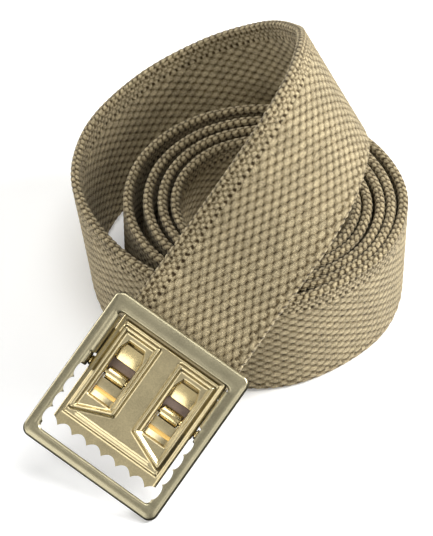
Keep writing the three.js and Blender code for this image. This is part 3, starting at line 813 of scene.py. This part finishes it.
def ringPart():
    half, end = openingHalf(), buckle["height"] / 2
    outer = roundedOutline(half + buckle["sideBar"], -end, end, buckle["corner"])
    inner = roundedOutline(half, openingLow(), openingTop(), buckle["openingCorner"])
    depth, sheet, bend, inset = (buckle[name] for name in ("depth", "sheet", "outerRound", "bendInset"))
    rows = [[(*p, -depth) for p, n in outer]]
    for i in range(8):
        turn = i / 7 * math.pi / 2
        back = bend * (1 - math.cos(turn))
        rows.append([(*(p - n * back), bend * (math.sin(turn) - 1)) for p, n in outer])
    widths = [buckle["endRoll"] + (buckle["sideRoll"] - buckle["endRoll"]) * n.x ** 2 for p, n in inner]
    for share in (0.12, 0.3, 0.5, 0.7, 0.88):
        rows.append([(*(p - n * bend).lerp(q + m * width, share), 4 * buckle["crown"] * share * (1 - share))
                     for (p, n), (q, m), width in zip(outer, inner, widths)])
    wings = [abs(n.x) == 1 and p.y > buckle["pinUp"] + buckle["wingUp"] for p, n in inner]
    edges = [notchAt(p.y) if abs(n.x) == 1 else 0.0 for p, n in inner]
    reach = plateHalf() + buckle["fit"] - half
    for i in range(9):
        row = []
        for (p, n), width, edge, wing in zip(inner, widths, edges, wings):
            if wing:
                turn = i / 8 * math.pi / 2
                off = width + (reach - width) * math.sin(turn)
                drop = (buckle["wingDepth"] - sheet) * (1 - math.cos(turn))
            else:
                off = width + (edge - width) * i / 8
                drop = buckle["rollDrop"] * math.sqrt(width / buckle["sideRoll"])
                drop *= ((width - off) / width) ** 2
            row.append((*(p + n * off), -drop))
        rows.append(row)
    rows.append([(x, y, z - buckle["edgeSheet"]) for x, y, z in rows[-1]])
    rows.append([(*(p + n * (width + buckle["rollInset"])), -sheet) for (p, n), width in zip(inner, widths)])
    rows.append([(*(p - n * (sheet + inset)), -sheet) for p, n in outer])
    rows.append([(*(p - n * sheet), -sheet - inset) for p, n in outer])
    rows.append([(*(p - n * sheet), -depth) for p, n in outer])
    return skinRows(rows, True)


plate = {
    "sheet": 0.7,
    "sideGap": 1.1,
    "tuck": 0.6,
    "teethGap": 2.95,
    "teeth": 7,
    "toothDepth": 1.5,
    "flange": 2.0,
    "fieldRise": 0.5,
    "fieldMargin": 1.1,
    "rimWidth": 1.8,
    "rimRise": 0.9,
    "sideFall": 0.45,  # the margin bends down towards the plate's sides
    "windowRoll": 0.55,
    "windowFall": 0.5,
    "fieldBend": 0.7,
    "rimFoot": 0.15,
    "foldUp": 0.85,  # the fold between the lower ends of the two rims
    "foldHalf": 0.5,
    "foldInset": 2.6,
    "foldRise": 0.28,
    "lugDown": 0.85,  # tops of the lugs, below the plate's
    "flangeStart": 1.0,  # above the pin
    "flangeLow": -5.6,
    "flangeDown": 0.9,
    "flangeThickness": 0.6,
    "fineStep": 0.26,
    "rimOutline": ((0.903, 0.931), (0.161, 0.931), (0.161, 0.289), (0.903, 0.143)),
    "windowOutline": ((0.746, 0.749), (0.679, 0.829), (0.389, 0.829), (0.322, 0.749), (0.322, 0.336),
                      (0.746, 0.336)),
}


def sidesOf(path):
    return zip(path, path[1:] + path[:1])


def platePath(name, side):
    height = plateHigh() - plateLow()
    path = [(side * x * plateHalf(), plateLow() + y * height) for x, y in plate[name]]
    area = sum(a[0] * b[1] - b[0] * a[1] for a, b in sidesOf(path))
    return path if area > 0 else path[::-1]


def insetPath(path, distance):
    moved = []
    for i, (x, y) in enumerate(path):
        first = (Vector((x, y)) - Vector(path[i - 1])).normalized()
        second = (Vector(path[(i + 1) % len(path)]) - Vector((x, y))).normalized()
        turn = 1 + first.dot(second)
        moved.append((x - distance * (first.y + second.y) / turn,
                      y + distance * (first.x + second.x) / turn))
    return moved


def finePath(path, step):
    fine = []
    for start, stop in sidesOf(path):
        count = max(1, round(math.dist(start, stop) / step))
        for i in range(count):
            fine.append(tuple(np.array(start) + (np.array(stop) - np.array(start)) * i / count))
    return fine


def plateEdge():
    half, low, high, depth = plateHalf(), plateLow(), plateHigh(), plate["toothDepth"]
    pitch = 2 * half / plate["teeth"]
    path = [(half, high), (-half, high)]
    curves = [((-half, low + depth), (pitch / 4 - half, low + depth), (pitch / 2 - half, low))]
    for i in range(plate["teeth"] - 1):
        tip = (i + 0.5) * pitch - half
        curves.append(((tip, low), (tip + pitch / 2, low + 2 * depth), (tip + pitch, low)))
    curves.append(((half - pitch / 2, low), (half - pitch / 4, low + depth), (half, low + depth)))
    for a, b, c in curves:
        for i in range(16):
            t = i / 16
            path.append(tuple(a[k] * (1 - t) ** 2 + 2 * b[k] * t * (1 - t) + c[k] * t * t for k in (0, 1)))
    return path + [(half, low + depth)]


def distanceTo(points, path):
    nearest = np.full(len(points), 1e9)
    for start, stop in sidesOf(path):
        a, b = np.array(start), np.array(stop)
        share = np.clip((points - a) @ (b - a) / ((b - a) @ (b - a)), 0, 1)
        nearest = np.minimum(nearest, np.hypot(*(points - a - share[:, None] * (b - a)).T))
    return nearest


def insidePath(points, path):
    inside = np.zeros(len(points), bool)
    x, y = points.T
    for (ax, ay), (bx, by) in sidesOf(path):
        if ay != by:
            crosses = (ay > y) != (by > y)
            inside ^= crosses & (x < (bx - ax) * (y - ay) / (by - ay) + ax)
    return inside


def smoothShare(value):
    t = np.clip(value, 0, 1)
    return t * t * (3 - 2 * t)


def plateHeights(points):
    x, y = points.T
    margin, halfRim = plate["fieldMargin"], plate["rimWidth"] / 2
    fieldHalf = plateHalf() - margin
    fieldLow = plateLow() + plate["toothDepth"] + plate["flange"]
    z = np.full(len(points), plateTop())
    inside = np.minimum.reduce([fieldHalf - abs(x), y - fieldLow, plateHigh() - margin - y])
    z += plate["fieldRise"] * smoothShare(inside / plate["fieldBend"])
    z -= plate["sideFall"] * np.clip((abs(x) - fieldHalf) / margin, 0, 1) ** 2
    for side in (-1, 1):
        rim = insetPath(platePath("rimOutline", side), halfRim)
        share = np.clip(distanceTo(points, rim) / (halfRim + plate["rimFoot"]), 0, 1)
        z += plate["rimRise"] * (0.5 + 0.5 * np.cos(math.pi * share))
        near = np.clip(1 - distanceTo(points, platePath("windowOutline", side)) / plate["windowRoll"], 0, 1)
        z -= plate["windowFall"] * near ** 2
    fold = np.clip(1 - abs(y - fieldLow - halfRim - plate["foldUp"]) / plate["foldHalf"], 0, 1)
    return z + plate["foldRise"] * smoothShare(fold * np.clip(fieldHalf - plate["foldInset"] - abs(x), 0, 1))


def plateCreases():
    # lines that the mesh follows: the raised field's edge and, on each rim, its two feet and its crest
    fieldHalf = plateHalf() - plate["fieldMargin"]
    fieldLow = plateLow() + plate["toothDepth"] + plate["flange"]
    fieldHigh = plateHigh() - plate["fieldMargin"]
    field = [(-fieldHalf, fieldLow), (fieldHalf, fieldLow), (fieldHalf, fieldHigh), (-fieldHalf, fieldHigh)]
    creases = [field, insetPath(field, 0.25)]
    for side in (-1, 1):
        rim = platePath("rimOutline", side)
        creases += [rim] + [insetPath(rim, share * plate["rimWidth"]) for share in (0.25, 0.5, 0.75, 1.0)]
    return creases


def platePart():
    step = plate["fineStep"]
    edge = finePath(plateEdge(), step)
    windows = [finePath(platePath("windowOutline", side), step) for side in (-1, 1)]
    creases = [finePath(path, step) for path in plateCreases()]
    grid = []
    rowCount = int((plateHigh() - plateLow()) / step)
    for r in range(1, rowCount):
        y = plateLow() + r * step
        grid += [(x + (r % 2) * step / 2, y) for x in np.arange(-plateHalf() + step / 2, plateHalf(), step)]
    grid = np.array(grid)
    keep = insidePath(grid, edge) & (distanceTo(grid, edge) > 0.5 * step)
    for window in windows:
        keep &= ~insidePath(grid, window)
    for path in (*windows, *creases):
        keep &= distanceTo(grid, path) > 0.5 * step
    points = [Vector(p) for p in grid[keep]]
    loops = []
    for path in (edge, *windows, *creases):
        first = len(points)
        points += [Vector(p) for p in path]
        loops += [(first + i, first + (i + 1) % len(path)) for i in range(len(path))]
    cut = delaunay_2d_cdt(points, loops, [], 0, 1e-5)
    flat, triangles = np.array([tuple(p) for p in cut[0]]), cut[2]
    middles = np.array([flat[list(t)].mean(axis=0) for t in triangles])
    kept = insidePath(middles, edge)
    for window in windows:
        kept &= ~insidePath(middles, window)
    triangles = [list(t) for t, good in zip(triangles, kept) if good]
    heights = plateHeights(flat)
    count = len(flat)
    top = [(x, y, z) for (x, y), z in zip(flat, heights)]
    under = [(x, y, z - plate["sheet"]) for x, y, z in top]
    used = {}
    for t in triangles:
        for i, j in zip(t, t[1:] + t[:1]):
            used[(i, j)] = True
    walls = [[i, i + count, j + count, j] for i, j in used if (j, i) not in used]
    return top + under, triangles + [[i + count for i in t[::-1]] for t in triangles] + walls


shelf = {
    # the bent tab in each window
    "sheet": 0.5,
    "up": 0.65,
    "lap": 0.04,  # into the jaw's knuckle
    "sideLap": 0.05,
    "root": ((0.6, 0.7), (0.5, 0.15)),  # out under the plate and below its top, under and upper side
    # in from the window's edge and up from the tab's top, then down from the plate's top
    "bend": ((0.15, 0.42), (0.0, 0.4)),
    "grooveNear": 0.3,  # shares of its length
    "grooveFar": 0.52,
    "grooveDepth": 0.45,
    "grooveSlopes": (0.3, 0.1),
    "grooveLip": 0.05,
    "stripInset": 0.05,
    "stripDepths": (0.35, 0.1, 0.2, 0.02),  # underside, far side, middle, near side
    "fingerGap": 0.15,
    "fingerLap": 0.3,
    "fingerFall": 0.2,
}


def windowSpan():
    # middle and half width of the right window
    xs = [x * plateHalf() for x, y in plate["windowOutline"]]
    return (max(xs) + min(xs)) / 2, (max(xs) - min(xs)) / 2


def shelfPlaces():
    # lower end, upper end, top and groove of the bent tab in each window
    low = min(y for x, y in platePath("windowOutline", 1))
    end = buckle["pinUp"] - knuckleRadius() + shelf["lap"]
    near, far = (low + shelf[share] * (end - low) for share in ("grooveNear", "grooveFar"))
    return low, end, pinDepth() + buckle["knuckleWall"] + shelf["up"], near, far


def grooveReflectionParts():
    # a thin strip laid in each shelf's groove, which carries the painted orange-gold reflection
    low, end, top, near, far = shelfPlaces()
    inset, (under, farDepth, middleDepth, nearDepth) = shelf["stripInset"], shelf["stripDepths"]
    outline = [(near, top - under), (far, top - under), (far - inset, top - farDepth),
               ((near + far) / 2, top - middleDepth), (near + inset, top - nearDepth)]
    middle, half = windowSpan()
    return onBothSides(outline, middle - half, middle + half)


def shelfParts():
    # a bent tab from each window's lower edge to just short of the jaw's knuckle
    low, end, top, near, far = shelfPlaces()
    sheet, face, floor = shelf["sheet"], plateTop(), top - shelf["grooveDepth"]
    (underOut, underDown), (upperOut, upperDown) = shelf["root"]
    (bendIn, bendUp), (edgeIn, edgeDown) = shelf["bend"]
    nearSlope, farSlope = shelf["grooveSlopes"]
    outline = [
        (low - underOut, face - underDown), (low, top - sheet), (end, top - sheet), (end, top), (far, top),
        (far - farSlope, floor), (near + nearSlope, floor), (near, top + shelf["grooveLip"]),
        (low + bendIn, top + bendUp), (low + edgeIn, face - edgeDown), (low - upperOut, face - upperDown)]
    middle, half = windowSpan()
    half += shelf["sideLap"]
    parts = onBothSides(outline, middle - half, middle + half)
    # fingers that reach the pin beside the jaw's barrels
    reach, beside = buckle["pinUp"] - buckle["pinRadius"], jaw["knuckleWidth"] / 2 + shelf["fingerGap"]
    lap = shelf["fingerLap"]
    finger = [(end - lap, top - sheet), (reach, top - sheet - lap), (reach, top - shelf["fingerFall"]),
              (end - lap, top - shelf["grooveLip"])]
    parts += onBothSides(finger, middle - half, middle - beside)
    return parts + onBothSides(finger, middle + beside, middle + half)


def sideFlanges():
    # the plate's sides turned down under its margins, as far as the strap's end
    outline = boxOutline(buckle["pinUp"] + plate["flangeStart"], strapEnd(),
                         plate["flangeLow"], plateTop() - plate["flangeDown"])
    return onBothSides(outline, plateHalf() - plate["flangeThickness"], plateHalf())


def earWalls():
    # thin walls under the turned-down side edges, as far as the strap's end
    outline = boxOutline(buckle["pinUp"] + buckle["wingUp"] + buckle["wallStart"], strapEnd(),
                         buckle["wallLow"], buckle["wallLap"] - buckle["wingDepth"])
    near = plateHalf() + buckle["fit"] + buckle["wallGap"]
    return onBothSides(outline, near, near + buckle["wallThickness"])


jaw = {
    "sheet": 0.8,
    "tooth": 0.8,
    "sideMargin": 2.6,
    "knuckleWidth": 5.3,
    "tabEdge": 4.0,  # from the pin
    "tabRoot": 8.4,
    "tabFall": 0.7,
    "teeth": 6,
    "lap": 0.2,
    "toothLap": 0.1,
    "neckStart": 0.5,  # back from the barrel's front
    "neckBend": (0.4, 0.6),
}


def knuckleRadius():
    return buckle["pinRadius"] + buckle["fit"] + buckle["knuckleWall"]


def jawTop():
    # of its sheet, under the strap
    return webMiddle() - strap["thickness"] / 2 - buckle["fit"] - jaw["tooth"]


def jawParts():
    middle, tabHalf = windowSpan()
    pin, deep, barrel = buckle["pinUp"], pinDepth(), knuckleRadius()
    sheet, lap, high = jaw["sheet"], jaw["lap"], jawTop()
    half, reach = plateHalf() - jaw["sideMargin"], openingTop() + buckle["topBar"] / 4
    low, edge, root = high - sheet, pin + jaw["tabEdge"], pin + jaw["tabRoot"]
    parts = [crossPrism(boxOutline(root - sheet, reach, low, high), -half, half)]
    bridge = boxOutline(edge - lap, root - sheet + lap, low, high)
    parts.append(crossPrism(bridge, tabHalf - middle, middle - tabHalf))
    parts += onBothSides(bridge, middle + tabHalf, half)
    webTop = webMiddle() + strap["thickness"] / 2
    edgeTop = webTop - jaw["tabFall"]
    tab = [(edge, edgeTop - sheet), (root - sheet, webTop - sheet), (root - sheet, low), (root, low),
           (root, webTop), (edge, edgeTop)]
    bendAlong, bendUp = jaw["neckBend"]
    neck = [(pin, deep - barrel), (pin + barrel, high - sheet / 2), (pin + barrel, deep),
            (pin + barrel - jaw["neckStart"], deep), (pin + bendAlong, deep - barrel + bendUp)]
    wide = jaw["knuckleWidth"] / 2
    rings = roundPoints(barrel), roundPoints(buckle["pinRadius"] + buckle["fit"])
    parts += onBothSides(tab, middle - tabHalf, middle + tabHalf)
    parts += onBothSides(neck, middle - wide, middle + wide)
    parts += [crossRing(*rings, side * middle - wide, side * middle + wide) for side in (-1, 1)]
    pitch, foot = 2 * half / jaw["teeth"], high - jaw["toothLap"]
    tooth = [(reach - 2 * sheet, foot), (reach, foot), (reach, high + jaw["tooth"])]
    for i in range(jaw["teeth"]):
        at = (i + 0.5) * pitch - half
        parts.append(crossPrism(tooth, at - pitch / 4, at + pitch / 4))
    return parts


def heelParts():
    # the jaw's sheet between its barrels and its tabs, seen deep in the windows; its mauve-brown, dull brass
    # is painted shade
    pin, barrel, high = buckle["pinUp"], knuckleRadius(), jawTop()
    half, edge, low = plateHalf() - jaw["sideMargin"], pin + jaw["tabEdge"], high - jaw["sheet"]
    foot = [(pin, pinDepth() - barrel), (pin + barrel, low), (edge, low), (edge, high), (pin, high)]
    return [crossPrism(foot, -half, half)]


def pinPart():
    thin, thick, opening = buckle["pinRadius"], buckle["knobRadius"], openingHalf()
    knob = (plateHalf() + buckle["fit"], opening - buckle["fit"])
    head = opening + buckle["earThickness"] + buckle["fit"]
    side = [(thin, knob[0]), (thick, knob[0]), (thick, knob[1]), (thin, knob[1]), (thin, head),
            (thick, head), (thick, head + buckle["headThickness"])]
    return turnedPart([(r, -x) for r, x in side[::-1]] + side)


solids = {
    # body and slot of each solid of the buckle
    "buckle_frame": ("frame", "satin_brass"),
    "grip_plate": ("belt", "satin_brass"),
    "pivot_pin": ("belt", "bright_brass"),
    "clamp_jaw": ("jaw", "bright_brass"),
}


def bucklePieces():
    # name, solid, brass, parts, bevel and the least angle that stays sharp
    half, opening, thick = plateHalf(), openingHalf(), buckle["earThickness"]
    top, lugTop = -buckle["earDown"], plateTop() - plate["lugDown"]
    ears = [earPart(top, -opening - thick, -opening), earPart(top, opening, opening + thick)]
    lugs = [earPart(lugTop, half - thick, half), earPart(lugTop, -half, thick - half)]
    return (
        ("frameRing", "buckle_frame", "frameBrass", [ringPart()], 0.0, 40),
        ("frameEars", "buckle_frame", "frameBrass", ears + earWalls(), 0.1, 40),
        ("gripPlate", "grip_plate", "plateBrass", [platePart()], 0.0, 60),
        ("plateShelves", "grip_plate", "plateBrass", shelfParts(), 0.08, 20),
        ("shelfGrooves", "grip_plate", "grooveBrass", grooveReflectionParts(), 0.0, 20),
        ("plateLugs", "grip_plate", "plateBrass", lugs + sideFlanges(), 0.1, 40),
        ("pivotPin", "pivot_pin", "pinBrass", [pinPart()], 0.12, 40),
        ("clampJaw", "clamp_jaw", "pinBrass", jawParts(), 0.1, 20),
        ("jawHeel", "clamp_jaw", "heelBrass", heelParts(), 0.05, 20),
    )


def addBuckle(place):
    wear = brassWear()
    finished = {name: brassMaterial(name, wear) for name in brasses}
    for name, node, brass, parts, bevel, sharp in bucklePieces():
        body, finish = solids[node]
        piece = addPiece(name, parts, place, finished[brass], bevel, sharp)
        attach(piece, body)
        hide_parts(node)
        print("buckle piece", name, len(piece.data.polygons), "faces")


# Floor and lights

studio = {
    "world": 0.02,
    "floorHalf": 3,
    "floor": {"Base Color": (0.95, 0.95, 0.94, 1), "Roughness": 0.95, "Specular IOR Level": 0.1,
              "Emission Color": (1, 1, 1, 1), "Emission Strength": 0.12},
    # place and size in metres, power in watts
    "lamps": {
        "key": ((0.62, 0.08, 0.4), 0.3, 7.8),
        "backLeft": ((-0.6, 0.5, 0.3), 0.5, 4.0),
        "overhead": ((0.05, 0.1, 0.9), 0.5, 3.7),
        "frontLeft": ((-0.5, -0.62, 0.25), 0.5, 2.2),
        "left": ((-0.7, -0.1, 0.4), 0.5, 0.8),
        "frontRight": ((0.4, -0.65, 0.35), 0.5, 1.8),
        "front": ((-0.12, -0.52, 0.7), 0.7, 0.75),
    },
}


def addStage():
    half = studio["floorHalf"]
    corners = [(-half, -half, 0), (half, -half, 0), (half, half, 0), (-half, half, 0)]
    floor = addMesh("floor", corners, [(0, 1, 2, 3)])
    floor.data.materials.append(newMaterial("paleFloor", studio["floor"])[0])
    floor.visible_glossy = False
    world = bpy.data.worlds.new("studio")
    bpy.context.scene.world = world
    world.use_nodes = True
    world.node_tree.nodes["Background"].inputs[0].default_value = (1, 1, 1, 1)
    world.node_tree.nodes["Background"].inputs[1].default_value = studio["world"]
    for name, (place, size, power) in studio["lamps"].items():
        data = bpy.data.lights.new(name, "AREA")
        data.size = size
        data.energy = power
        light = addObject(name, data)
        light.location = place
        light.rotation_euler = (-Vector(place)).to_track_quat("-Z", "Y").to_euler()
    bpy.context.scene.view_settings.view_transform = "Standard"


def main():
    hinge = next(joint for joint in frame["joints"] if joint["name"] == "frame_tilt")
    along = leadDirection()
    across, out = strapAxes(along, strap["leadRoll"])
    entry = Vector((loopEnd[0] * strap["coilRadius"], loopEnd[1] * strap["coilRadius"], leadEndHeight()))
    middle = entry + along * buckle["height"] / 2 - out * webMiddle()
    pin = middle - along * buckle["pinUp"] + out * pinDepth()
    shift = Vector(hinge["pos_m"]) / mm - pin
    print("the coil's middle is at", [round(c, 3) for c in shift])
    place = Matrix((-across, -along, out)).transposed().to_4x4()
    place.translation = middle + shift
    addCamera(shift)
    addStage()
    for piece in addStrap(shift, canvasMaterial()):
        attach(piece, "belt")
        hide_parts("web_strap")
    addBuckle(place)


main()
